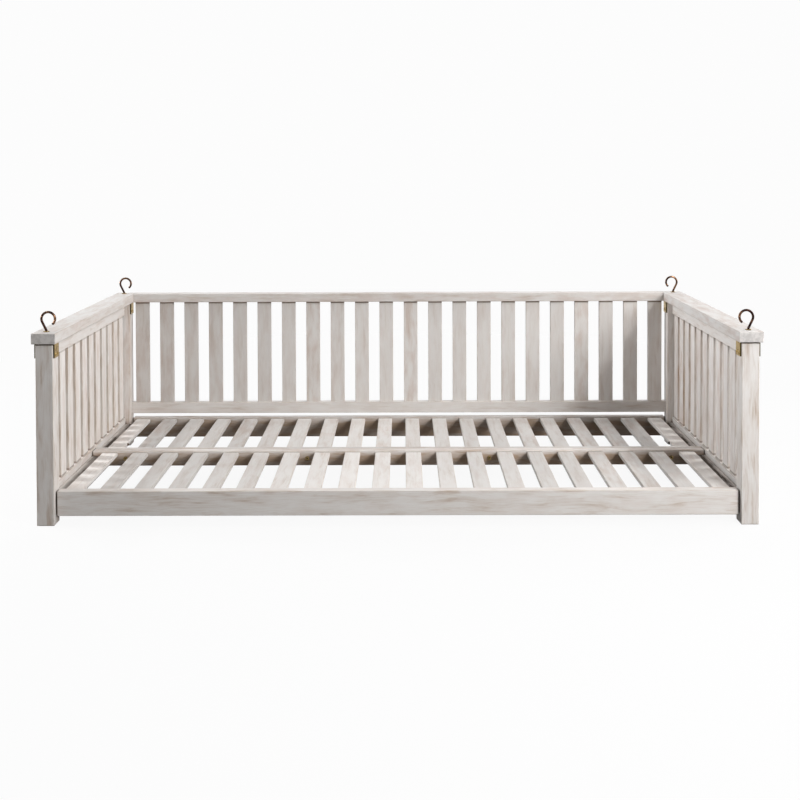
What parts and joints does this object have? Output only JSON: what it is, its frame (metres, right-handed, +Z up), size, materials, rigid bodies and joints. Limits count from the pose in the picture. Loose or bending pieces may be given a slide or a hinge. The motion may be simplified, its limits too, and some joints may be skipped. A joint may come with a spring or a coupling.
{
  "type": "hanging swing bed",
  "caption": "Hanging swing bed with slatted end and back panels, a slatted deck in two frames and open hooks on strapped corner posts",
  "frame": {"origin": "on the floor plane through the post feet, midway between the end panels and midway between the front and back edges of the cap rails", "axes": "+X along the bed from the left end panel to the right one as seen from the open front, +Y from the open front to the back panel, +Z up"},
  "size_m": [2.078, 0.945, 0.613],
  "materials": {
    "wood": "whitewashed, open grain",
    "dowel_wood": "bare",
    "strap_brass": "aged, brushed",
    "hook_bronze": "dark bronzed, rubbed at the edges",
    "steel": "zinc plated"
  },
  "bodies": {
    "frame": {"left_front_post": "wood", "left_rear_post": "wood", "right_front_post": "wood", "right_rear_post": "wood", "left_cap_rail": "wood", "right_cap_rail": "wood", "left_upper_rail": "wood", "right_upper_rail": "wood", "left_lower_rail": "wood", "right_lower_rail": "wood", "left_slats": "wood", "right_slats": "wood", "back_cap_rail": "wood", "back_lower_rail": "wood", "back_slats": "wood", "deck_front_rail": "wood", "deck_middle_rail_front": "wood", "deck_middle_rail_rear": "wood", "deck_rear_rail": "wood", "deck_front_slats": "wood", "deck_rear_slats": "wood", "left_deck_cleats": "wood", "right_deck_cleats": "wood", "deck_bolts": "strap_brass", "deck_bolt_washers": "steel", "deck_bolt_nuts": "steel", "cleat_screws": "steel", "deck_slat_screws": "steel", "slat_side_screws": "hook_bronze", "left_front_strap": "strap_brass", "left_rear_strap": "strap_brass", "right_front_strap": "strap_brass", "right_rear_strap": "strap_brass", "strap_screws": "strap_brass", "hook_washers": "strap_brass", "cap_dowels": "dowel_wood", "back_cap_dowels": "dowel_wood"},
    "left_front_hook": {"left_front_hook": "hook_bronze", "left_front_hook_nut": "steel"},
    "left_rear_hook": {"left_rear_hook": "hook_bronze", "left_rear_hook_nut": "steel"},
    "right_front_hook": {"right_front_hook": "hook_bronze", "right_front_hook_nut": "steel"},
    "right_rear_hook": {"right_rear_hook": "hook_bronze", "right_rear_hook_nut": "steel"}
  },
  "joints": [
    {"name": "left_front_swivel", "type": "hinge", "parent": "frame", "child": "left_front_hook", "pos_m": [-1.005, -0.4375, 0.52], "axis": [0, 0, 1], "continuous": true},
    {"name": "left_rear_swivel", "type": "hinge", "parent": "frame", "child": "left_rear_hook", "pos_m": [-1.005, 0.4375, 0.52], "axis": [0, 0, 1], "continuous": true},
    {"name": "right_front_swivel", "type": "hinge", "parent": "frame", "child": "right_front_hook", "pos_m": [1.005, -0.4375, 0.52], "axis": [0, 0, 1], "continuous": true},
    {"name": "right_rear_swivel", "type": "hinge", "parent": "frame", "child": "right_rear_hook", "pos_m": [1.005, 0.4375, 0.52], "axis": [0, 0, 1], "continuous": true}
  ]
}
